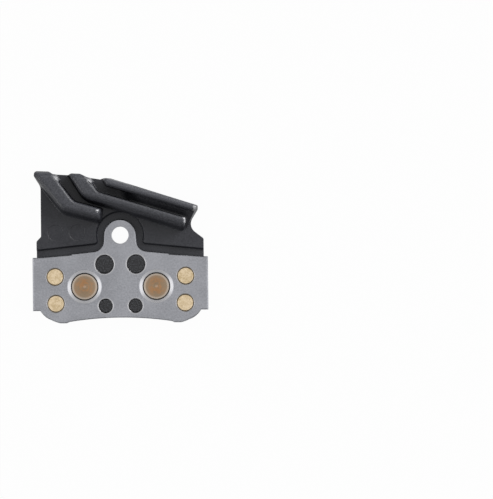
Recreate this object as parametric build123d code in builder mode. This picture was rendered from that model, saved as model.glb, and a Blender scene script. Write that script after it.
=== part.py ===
from build123d import *
import math
import os

# Disc brake pad with a cooling fin, for a four-piston bicycle caliper.
# Millimetres. The origin is on the pin hole's axis, in the plane where the friction block
# is bonded to the fin plate. +X runs along the pad, +Y points out to the fin's edge and
# +Z is the outward normal of the steel plate, so the pad lies on its friction face.

# Layers
friction_thickness = 2.0
web_thickness = 1.2
steel_thickness = 0.8
field_thickness = 2.0
seat_clearance = 0.06

# Pin hole and the ear round it
pin_hole_radius = 2.05
ear_radius = 3.85
ear_neck_half_width = 4.15
ear_flare_radius = 2.6

# Steel plate, right half
plate_half_width = 21.05
plate_top_centre = -3.2
tab_top = -5.3
tab_bottom = -18.05
tab_reach = 1.75
top_step = (11.5, -4.38)
top_step_depth = 0.22
plate_corner_middle = (1.88, 1.73)
plate_corner_end = (4.8, 3.0)
foot_width = 1.6
foot_step = (0.6, 0.3)
plate_bottom_centre = -19.8
plate_edge_break = 0.24

# Rivets seen in the steel plate, on both sides of the middle
large_rivet_place = (8.62, -12.32)
large_rivet_radius = 3.17
large_hole_radius = 3.3
large_dish_width = 0.88
large_dish_depth = 0.45
large_rivet_rise = 0.36
large_lip_width = 0.3
large_lip_height = 0.1
large_dimple_radius = 0.4
large_dimple_depth = 0.1
large_shank_radius = 2.1
small_rivet_places = [(15.67, -9.89), (15.52, -16.34)]
small_rivet_radius = 1.92
small_hole_radius = 2.0
small_hole_break = 0.22
small_rivet_rise = 0.66
small_shank_radius = 1.25

# Bosses of the fin plate that fill four more holes, on both sides of the middle
upper_boss_place = (3.78, -6.97)
upper_boss_radius = 2.06
lower_boss_place = (3.59, -16.97)
lower_boss_radius = 1.52
boss_hole_break = 0.26
boss_sink = 0.2

# Friction block
friction_half_width = 19.4
friction_top_centre = -4.45
friction_top_side = -6.47
friction_bottom_centre = -18.5
friction_bottom_side = -20.7
friction_top_corner_radius = 2.2
friction_bottom_corner_radius = 5.0
friction_edge_break = 0.3

# Fin plate outline: corners and their radii, from the lower left round to the lower right,
# where the two ends get the larger radius of the bottom corners
foot_half_width = 20.05
fin_bottom_side = -21.8
fin_bottom_centre = -19.45
fin_bottom_corner_radius = 5.3
tip_top = (18.72, 5.93)
tip_foot = (16.26, 1.99)
tip_draft = 80.0
fin_corners = [
    ((-foot_half_width, fin_bottom_side), 0),
    ((-foot_half_width, -1.35), 0.7),
    ((-18.95, -0.25), 0.7),
    ((-18.95, 11.75), 2.6),
    ((-20.4, 14.25), 0.6),
    ((-20.2, 15.55), 0.6),
    ((-16.9, 15.4), 0.3),
    ((-15.9, 14.72), 0.3),
    ((-12.2, 14.5), 0.3),
    ((-11.4, 14.88), 0.3),
    ((-9.3, 14.76), 0.5),
    ((-7.6, 13.9), 0.4),
    ((-4.6, 13.4), 0.3),
    ((-3.9, 13.66), 0.3),
    ((-2.0, 13.6), 1.0),
    ((18.75, 6.93), 0.3),
    (tip_top, 0.25),
    (tip_foot, 2.4),
    ((foot_half_width, -0.93), 0.6),
    ((foot_half_width, fin_bottom_side), 0),
]

# Pocket for the steel plate in the back of the fin plate
pocket_ear_radius = 5.45
pocket_top_centre = -1.64
pocket_top_side = -3.79
pocket_corner_radius = 0.9
pocket_wall_lean = 25.0

# Ribs on the back: height of the crest, and corners with their radii at the foot and the crest
rib_1_height = 5.6
rib_1_foot = [
    ((-22.3, 15.9), 0.5),
    ((-15.1, 15.9), 0.5),
    ((-14.1, 12.6), 1.5),
    ((-10.8, 8.4), 3.0),
    ((-3.9, 6.5), 0.8),
    ((-4.3, 2.5), 0.8),
    ((-13.9, 4.95), 3.2),
]
rib_1_crest = [
    ((-19.45, 14.25), 0.6),
    ((-16.1, 14.25), 0.5),
    ((-14.65, 12.75), 1.5),
    ((-11.05, 7.95), 2.6),
    ((-4.75, 6.05), 0.4),
    ((-5.1, 4.85), 0.4),
    ((-13.6, 7.25), 2.2),
]
rib_1_flare = [(-16.2, 14.41), (-14.55, 12.8), (-14.1, 13.3), (-15.4, 14.65)]
rib_2_height = 6.1
rib_2_foot = [
    ((-13.2, 15.6), 0.5),
    ((-7.2, 15.6), 0.5),
    ((-6.05, 12.05), 1.5),
    ((-4.85, 10.5), 1.0),
    ((16.35, 4.0), 0.8),
    ((15.3, 0.6), 0.8),
    ((-8.6, 8.2), 5.0),
]
rib_2_crest = [
    ((-10.9, 13.75), 0.6),
    ((-8.3, 13.7), 0.5),
    ((-6.6, 12.1), 1.5),
    ((-5.1, 10.2), 0.9),
    ((15.75, 3.85), 0.3),
    ((15.35, 3.1), 0.3),
    ((-8.5, 10.1), 4.0),
]
rib_2_flare = [(-8.35, 13.8), (-6.5, 12.3), (-6.1, 12.85), (-7.3, 13.8)]
rib_3_height = 7.2
rib_3_foot_level = 3.0
rib_3_foot = [
    ((-5.0, 14.6), 0.8),
    ((19.9, 7.2), 0.6),
    ((18.2, 5.3), 0.6),
    ((-3.2, 11.7), 0.8),
]
rib_3_crest = [
    ((-3.4, 13.35), 0.25),
    ((18.3, 6.75), 0.25),
    ((17.6, 5.95), 0.25),
    ((-2.7, 12.2), 0.25),
]

# Wall of a rib: the share of the way out to the foot that is left, with the rise above the foot
# or the drop below the crest at that place
rib_foot_flare = [(1.0, 0.0), (0.86, 0.28)]
rib_crown = [(0.5, 0.9), (0.22, 0.25), (0.0, 0.0)]
flare_lean = 40.0

# Flap: the corner of the fin plate that leans away from the rotor, with the lines where
# its faces leave the bonding plane, each by a point and a direction in degrees
flap_thickness = 1.7
fold_point = (9.5, 2.93)
fold_direction = -16.0
fold_lean = 30.0
side_point = (1.6, 9.12)
side_direction = -55.5
side_lean = 50.0
end_point = (14.3, 4.3)
end_direction = 67.0
end_lean = 50.0
facet_point = (16.3, 4.3)
facet_direction = -98.0
facet_lean = 40.0
facet_foot_point = (16.0, 1.9)
facet_foot_lean = 60.0
flap_side_radius = 2.5
flap_end_radius = 1.5
flap_seam_radius = 2.0

# Saw-tooth ridges on the friction side, by the two ends of each crest
ridge_crests = [
    ((-16.55, 14.2), (-12.2, 3.65)),
    ((-12.0, 13.9), (-7.25, 3.65)),
    ((-6.6, 13.3), (-1.65, 3.65)),
    ((-1.5, 12.3), (3.95, 3.65)),
]
ridge_height = 0.9
ridge_ramp = 3.0
ridge_drop = 0.75

# Shallow marks left by the casting tool
mark_places = [(-15.5, 0.7), (-10.3, 0.7)]
mark_radius = 1.9
mark_depth = 0.08
front_pocket_places = [(-17.0, -1.7), (16.6, -1.6)]
front_pocket_length = 2.5
front_pocket_width = 2.1
front_pocket_corner_radius = 0.6
front_pocket_depth = 0.4

# Levels and radii that follow from the sizes above
steel_face = web_thickness + steel_thickness
plate_corner = Vector(plate_half_width - tab_reach, tab_bottom)
corner_middle = plate_corner - Vector(*plate_corner_middle)
foot_outer = plate_corner - Vector(*plate_corner_end)
foot_inner = foot_outer - Vector(foot_width, 0)
foot_end = foot_inner - Vector(foot_step[0], -foot_step[1])
pocket_depth = field_thickness - web_thickness
pocket_rim_radius = pocket_ear_radius + pocket_depth * math.tan(math.radians(pocket_wall_lean))
ear_half_width = max(ear_radius, ear_neck_half_width)
upper_hole_radius = upper_boss_radius + seat_clearance
lower_hole_radius = lower_boss_radius + seat_clearance
fin_height = max(rib_1_height, rib_2_height, rib_3_height)
large_dish_angle = 2 * math.degrees(math.atan(large_dish_width / large_dish_depth))
flap_back_lift = flap_thickness / math.cos(math.radians(fold_lean))

# How far the cutting spaces reach, well past the pad on every side
reach = 3 * plate_half_width


def both_sides(*places):
    """Each place and its mirror image across the middle of the pad."""
    return [(side * x, y) for x, y in places for side in (1, -1)]


def corner_line(corners, close=True):
    """A line through the corners, each rounded to its own radius."""
    points = [point for point, _ in corners]
    radii = [radius for _, radius in corners]
    return FilletPolyline(*points, radius=radii if close else radii[1:-1], close=close)


def part_way(first, second, share):
    """The corners that lie a share of the way from a first set of corners to a second."""
    corners = []
    for ((x, y), radius), ((to_x, to_y), to_radius) in zip(first, second):
        point = (x + share * (to_x - x), y + share * (to_y - y))
        corners.append((point, radius + share * (to_radius - radius)))
    return corners


def rib(foot, foot_level, crest, height):
    """A cast rib whose walls flare out at the foot and round over at the crest."""
    sections = [(share, foot_level + rise) for share, rise in rib_foot_flare]
    sections += [(share, height - drop) for share, drop in rib_crown]
    with BuildPart() as body:
        for share, level in sections:
            with BuildSketch(Plane.XY.offset(level)):
                with BuildLine():
                    corner_line(part_way(crest, foot, share))
                make_face()
        loft(ruled=True)
    return body.part


def line_at(point, direction):
    """A line in the bonding plane through a point, running in a direction in degrees."""
    return Axis((*point, 0), Vector(1, 0, 0).rotate(Axis.Z, direction))


def under_slope(line, lean, lift=0.0):
    """The space under a plane that rises to the left of a line in the bonding plane."""
    left = line.direction.rotate(Axis.Z, 90)
    rise = reach * math.tan(math.radians(lean))
    across = Plane(origin=line.position + Vector(0, 0, lift), x_dir=left, z_dir=line.direction)
    with BuildPart() as space:
        with BuildSketch(across):
            with BuildLine():
                Polyline((-reach, -rise), (reach, rise), (reach, -rise), close=True)
            make_face()
        extrude(amount=reach, both=True)
    return space.part


def flare(corners, height):
    """The web beside a rib's top end, whose face falls away from its first side, the crest's edge."""
    top, foot = Vector(*corners[0]), Vector(*corners[1])
    with BuildPart() as web:
        with BuildSketch():
            with BuildLine():
                Polyline(*corners, close=True)
            make_face()
        extrude(amount=height)
        add(under_slope(Axis(foot, top - foot), flare_lean, height), mode=Mode.INTERSECT)
    return web.part


# Lines where the flap's faces leave the bonding plane, and the ribs with their flares
fold_line = line_at(fold_point, fold_direction)
side_line = line_at(side_point, side_direction)
end_line = line_at(end_point, end_direction)
facet_line = line_at(facet_point, facet_direction)
facet_foot_line = line_at(facet_foot_point, fold_direction)
tip_line = Axis((*tip_foot, 0), Vector(*tip_top) - Vector(*tip_foot))
fold_corner = fold_line.intersect(side_line)
end_corner = fold_line.intersect(end_line)
fold_front = under_slope(fold_line, fold_lean)
side_front = under_slope(side_line, side_lean)
end_front = under_slope(end_line, end_lean)
facet_front = under_slope(facet_line, facet_lean)
facet_foot = under_slope(facet_foot_line, facet_foot_lean)
fold_back = under_slope(fold_line, fold_lean, flap_back_lift)
side_back = under_slope(side_line, side_lean, flap_back_lift)
tip_back = under_slope(tip_line, tip_draft, field_thickness)
rib_1 = rib(rib_1_foot, field_thickness, rib_1_crest, rib_1_height)
rib_2 = rib(rib_2_foot, field_thickness, rib_2_crest, rib_2_height)
rib_3 = rib(rib_3_foot, rib_3_foot_level, rib_3_crest, rib_3_height)
flare_1 = flare(rib_1_flare, rib_1_height)
flare_2 = flare(rib_2_flare, rib_2_height)

# Outline of the fin plate, closed at the bottom by a hollow arc
with BuildSketch() as fin_outline:
    with BuildLine():
        rim = corner_line(fin_corners, close=False)
        ThreePointArc(rim @ 1, (0, fin_bottom_centre), rim @ 0)
    make_face()
    fillet(fin_outline.vertices().group_by(Axis.Y)[0], radius=fin_bottom_corner_radius)

# Front recess of the flap: the space in front of its three faces, with soft corners
with BuildPart() as flap_recess:
    add(fold_front)
    add(side_front, mode=Mode.INTERSECT)
    fillet(flap_recess.edges().sort_by_distance(fold_corner)[0], radius=flap_side_radius)
    add(end_front, mode=Mode.INTERSECT)
    fillet(flap_recess.edges().sort_by_distance(end_corner)[0], radius=flap_end_radius)

# Facet at the tip, beyond the end of the recess
with BuildPart() as tip_facet:
    add(facet_front)
    add(facet_foot, mode=Mode.INTERSECT)

# Back of the field, from which the flap rises in soft folds
with BuildPart() as flap_back:
    add(fold_back)
    add(side_back, mode=Mode.INTERSECT)
    fillet(flap_back.edges().sort_by_distance(fold_corner)[0], radius=flap_side_radius + flap_thickness)
    with BuildSketch():
        Rectangle(reach, reach)
    extrude(amount=field_thickness)
    field = flap_back.faces().filter_by(Axis.Z).sort_by(Axis.Z)[-1]
    fillet(field.edges().sort_by_distance(fold_corner)[:3], radius=flap_seam_radius)

# Field, flap and ribs, all kept inside the fin plate's outline and the draft of its tip
with BuildPart() as fins:
    add(flap_back.part)
    add([rib_1, rib_2, rib_3, flare_1, flare_2])
    add(tip_back, mode=Mode.INTERSECT)
    with BuildSketch():
        add(fin_outline.sketch)
    extrude(amount=fin_height, mode=Mode.INTERSECT)

# Ridges, each running from a section at its outer end to one at its foot
with BuildPart() as ridges:
    for crest_ends in ridge_crests:
        for x, y in crest_ends:
            with BuildSketch(Plane(origin=(x, y, 0), x_dir=(1, 0, 0), z_dir=(0, -1, 0))):
                with BuildLine():
                    Polyline((-ridge_ramp, 0), (0, -ridge_height), (ridge_drop, 0), close=True)
                make_face()
        loft(ruled=True)

# Fin plate
with BuildPart() as fin_plate:
    with BuildSketch():
        add(fin_outline.sketch)
    extrude(amount=field_thickness)
    add(fins.part)
    add(ridges.part)
    add(flap_recess.part, mode=Mode.SUBTRACT)
    add(tip_facet.part, mode=Mode.SUBTRACT)
    with BuildSketch(Plane.XY.offset(web_thickness)) as pocket:
        with BuildLine():
            Polyline(
                (-plate_half_width, pocket_top_side),
                (0, pocket_top_centre),
                (plate_half_width, pocket_top_side),
                (plate_half_width, -reach),
                (-plate_half_width, -reach),
                close=True,
            )
        make_face()
        Circle(pocket_ear_radius)
        ear_corners = pocket.vertices().filter_by_position(Axis.X, -pocket_ear_radius, pocket_ear_radius)
        fillet(ear_corners, radius=pocket_corner_radius)
    extrude(amount=pocket_depth, taper=-pocket_wall_lean, mode=Mode.SUBTRACT)
    with BuildSketch(Plane.XY.offset(field_thickness)):
        Circle(pocket_rim_radius)
    extrude(amount=fin_height, mode=Mode.SUBTRACT)
    with BuildSketch(Plane.XY.offset(web_thickness)):
        with Locations(*both_sides(upper_boss_place)):
            Circle(upper_boss_radius)
        with Locations(*both_sides(lower_boss_place)):
            Circle(lower_boss_radius)
    extrude(amount=steel_thickness - boss_sink)
    with BuildSketch(Plane.XY.offset(field_thickness)):
        with Locations(*mark_places):
            Circle(mark_radius)
    extrude(amount=-mark_depth, mode=Mode.SUBTRACT)
    with BuildSketch():
        with Locations(*front_pocket_places):
            RectangleRounded(front_pocket_length, front_pocket_width, front_pocket_corner_radius)
    extrude(amount=front_pocket_depth, mode=Mode.SUBTRACT)
    with BuildSketch():
        Circle(pin_hole_radius)
        with Locations(*both_sides(large_rivet_place)):
            Circle(large_shank_radius + seat_clearance)
        with Locations(*both_sides(*small_rivet_places)):
            Circle(small_shank_radius + seat_clearance)
    extrude(amount=web_thickness, mode=Mode.SUBTRACT)
fin_plate.part.label = "fin_plate"

# Steel plate
with BuildPart() as back_plate:
    with BuildSketch(Plane.XY.offset(web_thickness)) as plate_outline:
        with BuildLine():
            Polyline(
                (0, plate_top_centre),
                top_step,
                (top_step[0] + top_step_depth, top_step[1] - top_step_depth),
                (plate_half_width, tab_top),
                (plate_half_width, tab_bottom),
                plate_corner,
            )
            ThreePointArc(plate_corner, corner_middle, foot_outer)
            Polyline(foot_outer, foot_inner, foot_end)
            ThreePointArc(foot_end, (0, plate_bottom_centre), (-foot_end.X, foot_end.Y))
            mirror(about=Plane.YZ)
        make_face()
        Circle(ear_radius)
        with BuildLine():
            Polyline(
                (-ear_radius, 0),
                (ear_radius, 0),
                (ear_neck_half_width, tab_top),
                (-ear_neck_half_width, tab_top),
                close=True,
            )
        make_face()
        neck_corners = plate_outline.vertices().filter_by_position(Axis.X, -ear_half_width, ear_half_width)
        fillet(neck_corners.filter_by_position(Axis.Y, tab_top, plate_top_centre), radius=ear_flare_radius)
    extrude(amount=steel_thickness)
    chamfer(back_plate.faces().sort_by(Axis.Z)[-1].edges(), length=plate_edge_break)
    with Locations(Plane.XY.offset(steel_face)):
        Hole(pin_hole_radius)
        with Locations(*both_sides(upper_boss_place)):
            CounterSinkHole(upper_hole_radius, upper_hole_radius + boss_hole_break)
        with Locations(*both_sides(lower_boss_place)):
            CounterSinkHole(lower_hole_radius, lower_hole_radius + boss_hole_break)
        with Locations(*both_sides(*small_rivet_places)):
            CounterSinkHole(small_hole_radius, small_hole_radius + small_hole_break)
        with Locations(*both_sides(large_rivet_place)):
            CounterSinkHole(
                large_hole_radius, large_hole_radius + large_dish_width, counter_sink_angle=large_dish_angle
            )
back_plate.part.label = "back_plate"

# Friction block
with BuildPart() as friction_block:
    with BuildSketch(Plane.XY.offset(-friction_thickness)) as block_outline:
        with BuildLine():
            top = ThreePointArc(
                (-friction_half_width, friction_top_side),
                (0, friction_top_centre),
                (friction_half_width, friction_top_side),
            )
            bottom = ThreePointArc(
                (friction_half_width, friction_bottom_side),
                (0, friction_bottom_centre),
                (-friction_half_width, friction_bottom_side),
            )
            Line(top @ 1, bottom @ 0)
            Line(bottom @ 1, top @ 0)
        make_face()
        fillet(block_outline.vertices().group_by(Axis.Y)[-1], radius=friction_top_corner_radius)
        fillet(block_outline.vertices().group_by(Axis.Y)[0], radius=friction_bottom_corner_radius)
    extrude(amount=friction_thickness)
    chamfer(friction_block.faces().sort_by(Axis.Z)[0].edges(), friction_edge_break)
friction_block.part.label = "friction_block"

# Large rivets: a shank through the web, and a turned head with a lip and a centre dimple
with BuildPart() as large_rivets:
    with BuildSketch():
        with Locations(*both_sides(large_rivet_place)):
            Circle(large_shank_radius)
    extrude(amount=web_thickness)
    with BuildSketch(Plane.XY.offset(web_thickness)):
        with Locations(*both_sides(large_rivet_place)):
            Circle(large_rivet_radius)
    extrude(amount=large_rivet_rise)
    with BuildSketch(Plane.XY.offset(web_thickness + large_rivet_rise)):
        with Locations(*both_sides(large_rivet_place)):
            Circle(large_rivet_radius - large_lip_width)
    extrude(amount=-large_lip_height, mode=Mode.SUBTRACT)
    with BuildSketch(Plane.XY.offset(web_thickness + large_rivet_rise - large_lip_height)):
        with Locations(*both_sides(large_rivet_place)):
            Circle(large_dimple_radius)
    extrude(amount=-large_dimple_depth, mode=Mode.SUBTRACT)
large_rivets.part.label = "large_rivets"

# Small rivets: a shank through the web and a plain flat head
with BuildPart() as small_rivets:
    with BuildSketch():
        with Locations(*both_sides(*small_rivet_places)):
            Circle(small_shank_radius)
    extrude(amount=web_thickness)
    with BuildSketch(Plane.XY.offset(web_thickness)):
        with Locations(*both_sides(*small_rivet_places)):
            Circle(small_rivet_radius)
    extrude(amount=small_rivet_rise)
small_rivets.part.label = "small_rivets"

os.makedirs("parts", exist_ok=True)
for piece in (back_plate, fin_plate, friction_block, large_rivets, small_rivets):
    export_step(piece.part, f"parts/{piece.part.label}.step")
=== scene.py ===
"""The looks of a disc brake pad: its finishes, its turned rivet heads, the lamps and the camera."""

import math

import bmesh
import bpy
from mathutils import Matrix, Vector


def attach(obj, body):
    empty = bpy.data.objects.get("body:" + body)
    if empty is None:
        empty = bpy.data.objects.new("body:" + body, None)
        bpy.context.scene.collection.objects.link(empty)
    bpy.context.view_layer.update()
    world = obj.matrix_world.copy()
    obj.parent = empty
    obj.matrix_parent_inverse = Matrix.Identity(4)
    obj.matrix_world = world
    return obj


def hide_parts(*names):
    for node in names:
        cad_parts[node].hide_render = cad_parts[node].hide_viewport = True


MM = 0.001

# The photograph's frame: its long side in pixels, the scale at the steel face, the point of the
# pad's frame that lies at its middle, in millimetres, and the pad's turn in it, in degrees
FRAME_PIXELS = 499
MM_PER_PIXEL = 0.24
FRAME_MIDDLE = (30.34, -3.74)
FRAME_ROLL = -0.55
LENS = 200.0
SENSOR = 36.0

# Levels over the bonding plane, in millimetres. The floor is clear of the friction face.
PLATE_SEAT = 1.2
STEEL_FACE = 2.0
FLOOR_LEVEL = -2.02

# Large rivets, in millimetres, and the smaller ones
LARGE_PLACE = (8.62, -12.32)
LARGE_RADIUS = 3.08
LARGE_SHANK = 2.1
LARGE_TOP = 1.56
LARGE_FACE = 1.46
LARGE_RIM = 0.14
LIP_TOP = 2.84
LIP_FOOT = 2.56
LIP_FADE = 0.15
CENTRE_MARK = 0.45
CENTRE_CORE = 0.15
CENTRE_DEPTH = 0.09
SMALL_PLACES = ((15.67, -9.89), (15.52, -16.34))
SMALL_RADIUS = 1.92
SMALL_SHANK = 1.25
SMALL_TOP = 1.86
SMALL_RIM = 0.16

# How finely the rivets are turned, and how their meshes are closed
TURNED_SEGMENTS = 96
ARC_STEPS = 6
WELD_DISTANCE = 0.001
SHARP_ANGLE = 40.0

# The steel's hole rims, lighter by a painted highlight: place and outer radius, and the width
# over which they fade, in millimetres
BOSS_PLACES = ((3.78, -6.97), (3.59, -16.97))
RIM_HIGHLIGHTS = (
    (LARGE_PLACE, 4.1),
    (SMALL_PLACES[0], 2.25),
    (SMALL_PLACES[1], 2.25),
    (BOSS_PLACES[0], 2.6),
    (BOSS_PLACES[1], 2.06),
)
RIM_FADE = 0.15

# Where the black coating changes, in millimetres. Each pair runs from where a change starts to
# where it is full: up the ribs, where they start and where a painted sheen with wear grows on
# them; down the saw-tooth ridges, where a painted highlight grows; and along Y from the bosses,
# which fill holes of the steel, to the rest of the casting.
RIB_FEET = (2.2, 2.8)
RIB_WEAR_AND_SHEEN = (3.6, 5.4)
RIDGE_HIGHLIGHT_DEPTHS = (0.68, 0.88)
BOSS_END = (-6.0, -5.0)

# Painted glints at the lower ends of the ribs and the flap's tip, and painted sheen spots at the
# heads of the first two ribs: places, then the radius of the core and of the whole spot, in millimetres
GLINT_PLACES = ((-5.2, 5.85), (15.5, 3.84), (15.7, 3.15), (18.0, 6.5))
GLINT_RADII = (0.15, 0.5)
SHEEN_SPOT_PLACES = ((-14.95, 13.8), (-6.95, 13.05))
SHEEN_SPOT_RADII = (0.2, 0.9)

# The copper's turning marks: their spacing, and the radii where its pale ring starts and is
# full, in millimetres
RING_STEP = 0.8
PALE_RING = (1.2, 2.7)

# Colours, as linear red, green and blue. A pair of tones is mixed by a finish's grain.
STEEL_TONES = ((0.247, 0.252, 0.272), (0.337, 0.342, 0.368))
# The tone of the painted highlight on the steel's hole rims
STEEL_RIM_HIGHLIGHT = (0.41, 0.41, 0.425)
COATING_TONES = ((0.004, 0.0043, 0.0064), (0.0112, 0.0116, 0.0145))
BOSS_TONES = ((0.0004, 0.0004, 0.001), (0.0165, 0.0175, 0.02))
# The ribs' paler tone towards their crests: a painted sheen, with wear
COATING_WEAR_AND_SHEEN = (0.028, 0.029, 0.034)
# The tone of the painted sheen spots at the heads of the first two ribs
COATING_SHEEN_SPOT = (0.16, 0.16, 0.165)
# The tone of the painted highlight down the saw-tooth ridges
RIDGE_HIGHLIGHT = (0.22, 0.22, 0.23)
# The tone of the painted glints at the ribs' lower ends and the flap's tip
GLINT_TONE = (0.36, 0.36, 0.37)
BLOCK_TONES = ((0.33, 0.285, 0.2), (0.29, 0.27, 0.24))
BLOCK_DARK = (0.17, 0.15, 0.115)
BLOCK_FLECK = (0.47, 0.43, 0.34)
BLOCK_PORE = (0.07, 0.065, 0.055)
COPPER_TONES = ((0.26, 0.183, 0.117), (0.337, 0.187, 0.094))
COPPER_RING = (0.265, 0.217, 0.162)
COPPER_LIP = (0.49, 0.44, 0.385)
BRASS_TONES = ((0.5, 0.388, 0.23), (0.67, 0.55, 0.383))
FLOOR_WHITE = (0.86, 0.86, 0.86)
CARD_GREY = (0.05, 0.05, 0.05)
WHITE = (1.0, 1.0, 1.0)

# How many rays a softened edge takes, and how far down a face turns where it counts as an
# underside: Z of its direction, where that starts and is full
BEVEL_SAMPLES = 12
UNDERSIDE = (0.2, 0.5)

# Light: how bright the studio is as a light, and how white the floor looks to the camera
STUDIO_LEVEL = 0.45
FLOOR_GLOW = 0.97

# Half the floor's width, and the dark cards that the metal mirrors, past the pad's lower and
# upper edge: place along Y, half width and height, in metres
FLOOR_HALF = 0.6
DARK_CARDS = {
    "lower_card": (-0.22, 0.14, 0.1),
    "upper_card": (0.22, 0.1, 0.12),
}

# Square lamps that face the pad: azimuth (0 is +X, 90 is +Y) and elevation in degrees, distance
# and side in metres, watts, and the one piece that the lamp lights, or None where it lights all
SOFTBOXES = {
    "left_box": (185, 30, 0.6, 0.5, 1.0, None),
    "right_box": (0, 30, 0.6, 0.5, 1.0, None),
    "left_fill": (205, 22, 0.6, 0.3, 1.7, "fin_plate"),
    "upper_right_box": (42, 24, 0.5, 0.3, 7.0, "fin_plate"),
    "under_box": (15, -58, 0.6, 0.3, 2.4, None),
    "top_box": (80, 62, 0.8, 0.35, 1.6, "fin_plate"),
}


class Value:
    """One output of a node. Arithmetic on it adds Math nodes."""

    def __init__(self, tree, socket):
        self.tree = tree
        self.socket = socket

    def math(self, operation, first, second=0.0):
        return self.tree.node("ShaderNodeMath", {"operation": operation}, {0: first, 1: second})

    def __add__(self, other):
        return self.math("ADD", self, other)

    __radd__ = __add__

    def __sub__(self, other):
        return self.math("SUBTRACT", self, other)

    def __rsub__(self, other):
        return self.math("SUBTRACT", other, self)

    def __mul__(self, other):
        return self.math("MULTIPLY", self, other)

    __rmul__ = __mul__

    def __truediv__(self, other):
        return self.math("DIVIDE", self, other)

    def __floordiv__(self, other):
        return self.math("FLOOR", self / other)

    def __mod__(self, other):
        return self.math("MODULO", self, other)

    def __pow__(self, other):
        return self.math("POWER", self, other)

    def __abs__(self):
        return self.math("ABSOLUTE", self)

    def sine(self):
        return self.math("SINE", self)

    def cosine(self):
        return self.math("COSINE", self)

    def between(self, low, high):
        """0 under low, 1 over high, with a smooth step between them."""
        sockets = {"Value": self, "From Min": low, "From Max": high}
        return self.tree.node("ShaderNodeMapRange", {"interpolation_type": "SMOOTHSTEP"}, sockets)

    def part(self, letter):
        """One of a vector's three numbers."""
        return self.tree.node("ShaderNodeSeparateXYZ", sockets={"Vector": self}, output=letter)


class Tree:
    """A node tree that is written as calls."""

    def __init__(self, node_tree):
        self.nodes = node_tree.nodes
        self.links = node_tree.links

    def node(self, kind, settings=None, sockets=None, output=0):
        """Adds a node, with its settings first and then its sockets' values or links."""
        made = self.nodes.new(kind)
        for name, value in (settings or {}).items():
            setattr(made, name, value)
        self.fill(made, sockets or {})
        return Value(self, made.outputs[output])

    def fill(self, node, sockets):
        """Links or sets a node's sockets. A list gives a socket several links."""
        for name, value in sockets.items():
            socket = node.inputs[name]
            if isinstance(value, Value):
                self.links.new(value.socket, socket)
            elif isinstance(value, list):
                for linked in value:
                    self.links.new(linked.socket, socket)
            elif socket.type == "RGBA":
                socket.default_value = (*value, 1.0)
            else:
                socket.default_value = value

    def seen(self):
        """1 for what the camera sees, at first hand, in a reflection or through glass, else 0."""
        kinds = ("Camera", "Glossy", "Transmission")
        rays = [self.node("ShaderNodeLightPath", output=f"Is {kind} Ray") for kind in kinds]
        return sum(rays).between(0.0, 1.0)


class Finish(Tree):
    """One material, built node by node, with a Principled shader at its end.

    Its lengths are in millimetres, and so are x, y and z, the point's place on the pad.
    """

    def __init__(self, name):
        self.material = bpy.data.materials.new(name)
        self.material.use_nodes = True
        super().__init__(self.material.node_tree)
        self.shader = self.nodes["Principled BSDF"]
        self.place = self.node("ShaderNodeTexCoord", output="Object")
        self.x, self.y, self.z = (self.place.part(letter) / MM for letter in "XYZ")

    def set(self, sockets):
        """Gives sockets of the Principled shader their values."""
        self.fill(self.shader, sockets)

    def facing_down(self):
        """1 on what faces down, 0 on what faces sideways or up."""
        normal = self.node("ShaderNodeNewGeometry", output="Normal")
        return (0.0 - normal.part("Z")).between(*UNDERSIDE)

    def reach(self, centre, both_sides=False):
        """How far the point lies from a line up through a centre.

        With both sides it is the nearer of the centre and its mirror image across the pad's middle.
        """
        across = (abs(self.x) if both_sides else self.x) - centre[0]
        along = self.y - centre[1]
        return (across ** 2.0 + along ** 2.0) ** 0.5

    def spot(self, centre, core, radius, both_sides=False):
        """1 inside the core of a round spot, fading to 0 at its radius."""
        return 1.0 - self.reach(centre, both_sides).between(core, radius)

    def grain(self, size, detail=2.0, rough=0.5):
        """Noise from 0 to 1 with grains of a size."""
        scale = 1.0 / (size * MM)
        sockets = {"Vector": self.place, "Scale": scale, "Detail": detail, "Roughness": rough}
        return self.node("ShaderNodeTexNoise", sockets=sockets)

    def mix(self, share, first, second):
        """A colour between two. A Mix node's sockets share their names, so they go by number."""
        sockets = {0: share, 6: first, 7: second}
        return self.node("ShaderNodeMix", {"data_type": "RGBA"}, sockets, output=2)

    def soft_edge(self, radius):
        """The surface's direction, with its edges rounded off by a radius."""
        return self.node("ShaderNodeBevel", {"samples": BEVEL_SAMPLES}, {"Radius": radius * MM})

    def mixed_edge(self, share, narrow, wide):
        """The surface's direction, between edges rounded off by a narrow and by a wide radius."""
        sockets = {0: share, 4: self.soft_edge(narrow), 5: self.soft_edge(wide)}
        return self.node("ShaderNodeMix", {"data_type": "VECTOR"}, sockets, output=1)

    def relief(self, height, depth, direction):
        """Bump of a depth over a surface's direction."""
        sockets = {"Height": height, "Distance": depth * MM, "Normal": direction}
        self.set({"Normal": self.node("ShaderNodeBump", sockets=sockets)})


def satin_steel():
    """Bare steel, with a fine even grain and a painted highlight on the rims round its holes."""
    steel = Finish("satin_steel")
    cloud = steel.grain(6)
    fine = steel.grain(0.4, detail=4.0)
    tone = cloud * 0.4 + fine * 0.6
    face = steel.mix(tone.between(0.32, 0.68), *STEEL_TONES)
    # A painted highlight on the rims round the holes
    rim_highlight = sum(
        steel.spot(place, radius - RIM_FADE, radius, both_sides=True)
        for place, radius in RIM_HIGHLIGHTS
    )
    steel.set({
        "Base Color": steel.mix(rim_highlight, face, STEEL_RIM_HIGHLIGHT),
        "Roughness": 0.3 + 0.1 * fine,
        "Metallic": 1.0,
    })
    steel.relief(fine, 0.003, steel.soft_edge(0.25))
    return steel.material


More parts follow.
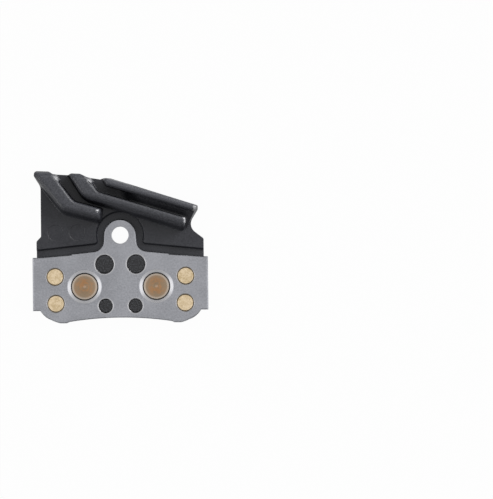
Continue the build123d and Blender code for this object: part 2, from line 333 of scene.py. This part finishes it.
def black_coating():
    """A sandy black coat, with painted sheen and wear on the ribs, and painted highlights and glints."""
    black = Finish("black_coating")
    cloud = black.grain(7)
    sand = black.grain(0.3, detail=3.0)
    speck = sand.between(0.36, 0.64)
    ribs = black.z.between(*RIB_FEET)
    wear_and_sheen = black.z.between(*RIB_WEAR_AND_SHEEN)
    # A painted sheen, with wear, growing up the ribs to their crests
    ridge_highlight = (0.0 - black.z).between(*RIDGE_HIGHLIGHT_DEPTHS)
    # A painted highlight down the saw-tooth ridges
    bosses = 1.0 - black.y.between(*BOSS_END)
    # Painted sheen spots at the heads of the first two ribs
    sheen_spots = sum(black.spot(place, *SHEEN_SPOT_RADII) for place in SHEEN_SPOT_PLACES)
    # Painted glints at the lower ends of the ribs and the flap's tip
    glints = sum(black.spot(place, *GLINT_RADII) for place in GLINT_PLACES)
    tone = cloud * 0.4 + sand * 0.6
    coat = black.mix(tone.between(0.38, 0.62), *COATING_TONES)
    boss = black.mix(sand.between(0.46, 0.6), *BOSS_TONES)
    coat = black.mix(bosses, coat, boss)
    coat = black.mix(wear_and_sheen * (0.35 + 0.6 * speck), coat, COATING_WEAR_AND_SHEEN)
    coat = black.mix(ridge_highlight * (0.4 + 0.6 * sand), coat, RIDGE_HIGHLIGHT)
    coat = black.mix(sheen_spots * ribs * (0.35 + 0.4 * speck), coat, COATING_SHEEN_SPOT)
    coat = black.mix(glints * wear_and_sheen * sand.between(0.42, 0.6), coat, GLINT_TONE)
    black.set({
        "Base Color": coat,
        "Roughness": 0.38 + 0.16 * sand + 0.2 * black.facing_down(),
        "Specular IOR Level": 0.27,
    })
    black.relief(sand * (1.0 + 6.0 * bosses), 0.005, black.mixed_edge(ribs, 0.2, 0.9))
    return black.material


def sintered_block():
    """Pressed metal powder: brown and grey grains with bright flecks and dark pores."""
    block = Finish("sintered_block")
    patch = block.grain(5)
    grain = block.grain(0.32, detail=3.0, rough=0.6)
    pore = block.grain(0.45, detail=4.0, rough=0.7)
    fleck = block.grain(0.38, detail=2.0, rough=0.8)
    ground = block.mix(patch.between(0.4, 0.64), *BLOCK_TONES)
    ground = block.mix(grain.between(0.34, 0.6), BLOCK_DARK, ground)
    ground = block.mix(fleck.between(0.6, 0.66), ground, BLOCK_FLECK)
    block.set({
        "Base Color": block.mix(pore.between(0.36, 0.4), BLOCK_PORE, ground),
        "Roughness": 0.72 - 0.3 * fleck,
        "Metallic": fleck.between(0.5, 0.66) * 0.5,
    })
    block.relief(grain + pore, 0.04, block.soft_edge(0.12))
    return block.material


def copper_rivet():
    """A turned copper face, paler towards its lip and at its centre mark."""
    copper = Finish("copper_rivet")
    out = copper.reach(LARGE_PLACE, both_sides=True)
    patch = copper.grain(1.6, detail=4.0)
    rings = (out * (2 * math.pi / RING_STEP)).sine()
    tone = (patch + rings * 0.05).between(0.38, 0.62)
    face = copper.mix(tone, *COPPER_TONES)
    face = copper.mix(out.between(*PALE_RING) * 0.6, face, COPPER_RING)
    lip = out.between(LIP_FOOT - LIP_FADE, LIP_TOP)
    middle = 1.0 - out.between(CENTRE_CORE, CENTRE_MARK)
    copper.set({
        "Base Color": copper.mix(lip * 0.6 + middle * 0.35, face, COPPER_LIP),
        "Roughness": 0.46 + 0.12 * patch,
        "Metallic": 1.0,
    })
    copper.relief(rings * 0.3 + patch, 0.005, copper.soft_edge(0.05))
    return copper.material


def brass_rivet():
    """Pale grainy brass."""
    brass = Finish("brass_rivet")
    grain = brass.grain(0.4, detail=4.0, rough=0.6)
    patch = brass.grain(1.4)
    tone = grain * 0.6 + patch * 0.4
    brass.set({
        "Base Color": brass.mix(tone.between(0.36, 0.6), *BRASS_TONES),
        "Roughness": 0.42 + 0.2 * grain,
        "Metallic": 1.0,
    })
    brass.relief(grain, 0.03, brass.soft_edge(0.05))
    return brass.material


def white_floor():
    """A white floor that keeps a faint shadow of the pad, and is clear from below."""
    floor = Finish("white_floor")
    floor.set({"Base Color": FLOOR_WHITE, "Roughness": 1.0})
    lit = Value(floor, floor.shader.outputs[0])
    glow = floor.node("ShaderNodeEmission", sockets={"Color": WHITE, "Strength": 1.0})
    clear = floor.node("ShaderNodeBsdfTransparent")
    beneath = floor.node("ShaderNodeNewGeometry", output="Backfacing")
    top = floor.node("ShaderNodeMixShader", sockets={0: floor.seen() * FLOOR_GLOW, 1: lit, 2: glow})
    whole = floor.node("ShaderNodeMixShader", sockets={0: beneath, 1: top, 2: clear})
    floor.fill(floor.nodes["Material Output"], {"Surface": whole})
    return floor.material


def dark_card():
    """Matt dark grey."""
    card = Finish("dark_card")
    card.set({"Base Color": CARD_GREY, "Roughness": 1.0})
    return card.material


class Turning(Tree):
    """A Geometry Nodes tree that turns a profile about Z and sets the pieces on both sides."""

    INPUTS = {
        "Profile": "NodeSocketGeometry",
        "Segments": "NodeSocketInt",
        "First Place": "NodeSocketVector",
        "Last Place": "NodeSocketVector",
        "Rows": "NodeSocketInt",
        "Finish": "NodeSocketMaterial",
    }

    def __init__(self):
        self.group = bpy.data.node_groups.new("turned_pieces", "GeometryNodeTree")
        super().__init__(self.group)
        face = self.group.interface
        sockets = {name: face.new_socket(name, socket_type=kind) for name, kind in self.INPUTS.items()}
        self.identifiers = {name: socket.identifier for name, socket in sockets.items()}
        face.new_socket("Pieces", in_out="OUTPUT", socket_type="NodeSocketGeometry")
        given = {name: self.node("NodeGroupInput", output=name) for name in self.INPUTS}
        placed = self.node("GeometryNodeInstanceOnPoints", sockets={
            "Points": self.places(given["First Place"], given["Last Place"], given["Rows"]),
            "Instance": self.turned(given["Profile"], given["Segments"]),
        })
        real = self.node("GeometryNodeRealizeInstances", sockets={"Geometry": placed})
        pieces = self.node("GeometryNodeSetMaterial", sockets={
            "Geometry": real,
            "Material": given["Finish"],
        })
        self.fill(self.nodes.new("NodeGroupOutput"), {"Pieces": pieces})

    def turned(self, profile, segments):
        """The surface that the profile's points sweep: a grid whose rows are wrapped round Z."""
        points = self.node("GeometryNodeAttributeDomainSize", sockets={"Geometry": profile})
        grid = self.node("GeometryNodeMeshGrid", sockets={
            "Vertices X": segments + 1.0,
            "Vertices Y": points,
        })
        index = self.node("GeometryNodeInputIndex")
        point = self.node("GeometryNodeSampleIndex", {"data_type": "FLOAT_VECTOR"}, {
            "Geometry": profile,
            "Value": self.node("GeometryNodeInputPosition"),
            "Index": index % points,
        })
        out = point.part("X")
        angle = (index // points) * (2 * math.pi) / segments
        wrapped = self.node("ShaderNodeCombineXYZ", sockets={
            "X": out * angle.cosine(),
            "Y": out * angle.sine(),
            "Z": point.part("Z"),
        })
        surface = self.node("GeometryNodeSetPosition", sockets={"Geometry": grid, "Position": wrapped})
        return self.node("GeometryNodeMergeByDistance", sockets={
            "Geometry": surface,
            "Distance": WELD_DISTANCE * MM,
        })

    def places(self, first, last, rows):
        """The points of a row between two places, and their mirror images across the pad's middle."""
        row = self.node("GeometryNodeMeshLine", {"mode": "END_POINTS"}, {
            "Count": rows,
            "Start Location": first,
            "Offset": last,
        })
        mirrored = self.node("ShaderNodeVectorMath", {"operation": "MULTIPLY"}, {
            0: self.node("GeometryNodeInputPosition"),
            1: (-1.0, 1.0, 1.0),
        })
        other = self.node("GeometryNodeSetPosition", sockets={"Geometry": row, "Position": mirrored})
        return self.node("GeometryNodeJoinGeometry", sockets={"Geometry": [row, other]})

    def make(self, name, profile, places, finish):
        """A plain mesh object of the pieces turned from a profile in millimetres."""
        mesh = bpy.data.meshes.new(name + "_profile")
        mesh.from_pydata([(out * MM, 0.0, up * MM) for out, up in profile], [], [])
        carrier = bpy.data.objects.new(name + "_profile", mesh)
        bpy.context.collection.objects.link(carrier)
        modifier = carrier.modifiers.new("turned_pieces", "NODES")
        modifier.node_group = self.group
        inputs = {
            "Segments": TURNED_SEGMENTS,
            "First Place": (places[0][0] * MM, places[0][1] * MM, 0.0),
            "Last Place": (places[-1][0] * MM, places[-1][1] * MM, 0.0),
            "Rows": len(places),
            "Finish": finish,
        }
        for label, value in inputs.items():
            modifier[self.identifiers[label]] = value
        evaluated = carrier.evaluated_get(bpy.context.evaluated_depsgraph_get())
        pieces = bpy.data.objects.new(name, bpy.data.meshes.new_from_object(evaluated))
        bpy.data.objects.remove(carrier)
        bpy.context.collection.objects.link(pieces)
        close_mesh(pieces.data)
        return pieces


def close_mesh(mesh):
    """Turns every face outwards and shades it smooth between its sharp edges."""
    shape = bmesh.new()
    shape.from_mesh(mesh)
    bmesh.ops.recalc_face_normals(shape, faces=shape.faces)
    shape.to_mesh(mesh)
    shape.free()
    mesh.shade_smooth()
    mesh.set_sharp_from_angle(angle=math.radians(SHARP_ANGLE))


def quarter(centre, radius):
    """The points of a rim's quarter round, from its side to its top."""
    turns = [math.pi / 2 * step / ARC_STEPS for step in range(ARC_STEPS + 1)]
    return [(centre[0] + radius * math.cos(turn), centre[1] + radius * math.sin(turn)) for turn in turns]


def stem(shank, head):
    """The profile from the foot of the shank up to the head's seat."""
    return [(0.0, 0.0), (shank, 0.0), (shank, PLATE_SEAT), (head, PLATE_SEAT)]


def large_rivets(turning):
    """Two heads with a rounded rim, a raised lip, a sunk face and a centre mark."""
    lip_middle = (LIP_TOP + LIP_FOOT) / 2
    mark_level = LARGE_FACE - CENTRE_DEPTH
    profile = stem(LARGE_SHANK, LARGE_RADIUS)
    profile += quarter((LARGE_RADIUS - LARGE_RIM, LARGE_TOP - LARGE_RIM), LARGE_RIM)
    profile += [(LIP_TOP, LARGE_TOP), (lip_middle, (LARGE_TOP + LARGE_FACE) / 2), (LIP_FOOT, LARGE_FACE)]
    profile += [(CENTRE_MARK, LARGE_FACE), (CENTRE_MARK / 2, mark_level), (0.0, mark_level)]
    return turning.make("copper_rivet_heads", profile, (LARGE_PLACE,), copper_rivet())


def small_rivets(turning):
    """Four flat heads with a rounded rim."""
    profile = stem(SMALL_SHANK, SMALL_RADIUS)
    profile += quarter((SMALL_RADIUS - SMALL_RIM, SMALL_TOP - SMALL_RIM), SMALL_RIM)
    profile += [(0.0, SMALL_TOP)]
    return turning.make("brass_rivet_heads", profile, SMALL_PLACES, brass_rivet())


def make_stage_plane(name, corners, finish):
    """A four-cornered plane that is part of the studio, not of the pad."""
    mesh = bpy.data.meshes.new(name)
    mesh.from_pydata(corners, [], [(0, 1, 2, 3)])
    plane = bpy.data.objects.new(name, mesh)
    bpy.context.collection.objects.link(plane)
    mesh.materials.append(finish)
    return plane


def make_floor(half):
    """The floor, which only the camera and reflections see."""
    level = FLOOR_LEVEL * MM
    corners = [(-half, -half, level), (half, -half, level), (half, half, level), (-half, half, level)]
    floor = make_stage_plane("floor", corners, white_floor())
    floor.visible_diffuse = False
    floor.visible_shadow = False


def make_card(name, finish, y, half_width, height):
    """An upright card that faces the pad from one edge, hidden from the camera."""
    ends = (-half_width, half_width)
    corners = [(x, y, z) for z, row in ((0.0, ends), (height, ends[::-1])) for x in row]
    card = make_stage_plane(name, corners, finish)
    card.visible_camera = False


def make_softbox(name, azimuth, elevation, distance, side, power, lit):
    """A square lamp that faces the pad, and that lights all pieces or the lit one only."""
    lamp = bpy.data.lights.new(name, "AREA")
    lamp.size = side
    lamp.energy = power
    box = bpy.data.objects.new(name, lamp)
    bpy.context.collection.objects.link(box)
    turn = math.radians(azimuth)
    rise = math.radians(elevation)
    away = Vector((math.cos(turn) * math.cos(rise), math.sin(turn) * math.cos(rise), math.sin(rise)))
    box.location = away * distance
    box.rotation_euler = away.to_track_quat("Z", "Y").to_euler()
    if lit:
        pieces = bpy.data.collections.new(name + "_pieces")
        pieces.objects.link(lit)
        box.light_linking.receiver_collection = pieces


def make_world():
    """White where it is seen, and dimmer as a light."""
    world = bpy.data.worlds.new("studio")
    world.use_nodes = True
    bpy.context.scene.world = world
    sky = Tree(world.node_tree)
    strength = sky.seen() * (1.0 - STUDIO_LEVEL) + STUDIO_LEVEL
    sky.fill(sky.nodes["Background"], {"Color": WHITE, "Strength": strength})


def make_camera():
    """A long lens that looks straight down, as far off as gives the photograph's scale."""
    data = bpy.data.cameras.new("camera")
    data.lens = LENS
    data.sensor_width = SENSOR
    camera = bpy.data.objects.new("camera", data)
    bpy.context.collection.objects.link(camera)
    distance = FRAME_PIXELS * MM_PER_PIXEL / SENSOR * LENS
    camera.location = Vector((*FRAME_MIDDLE, STEEL_FACE + distance)) * MM
    camera.rotation_euler = (0.0, 0.0, math.radians(FRAME_ROLL))
    bpy.context.scene.camera = camera


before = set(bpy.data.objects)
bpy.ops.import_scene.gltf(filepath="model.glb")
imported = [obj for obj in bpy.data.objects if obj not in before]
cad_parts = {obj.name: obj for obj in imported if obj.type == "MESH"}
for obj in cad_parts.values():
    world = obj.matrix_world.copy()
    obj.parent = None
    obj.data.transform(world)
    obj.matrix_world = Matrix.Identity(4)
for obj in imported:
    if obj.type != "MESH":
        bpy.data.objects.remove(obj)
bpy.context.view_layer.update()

finishes = {"back_plate": satin_steel, "fin_plate": black_coating, "friction_block": sintered_block}
for node, finish in finishes.items():
    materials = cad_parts[node].data.materials
    materials.clear()
    materials.append(finish())

turning = Turning()
rivets = {"large_rivets": (large_rivets, "copper_rivet"), "small_rivets": (small_rivets, "brass_rivet")}
for node, (make, slot) in rivets.items():
    heads = make(turning)
    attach(heads, "root")
    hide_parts(node)

make_floor(FLOOR_HALF)
card_finish = dark_card()
for name, (y, half_width, height) in DARK_CARDS.items():
    make_card(name, card_finish, y, half_width, height)
make_world()
for name, (azimuth, elevation, distance, side, power, piece) in SOFTBOXES.items():
    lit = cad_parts[piece] if piece else None
    make_softbox(name, azimuth, elevation, distance, side, power, lit)
make_camera()
bpy.context.scene.view_settings.view_transform = "Standard"
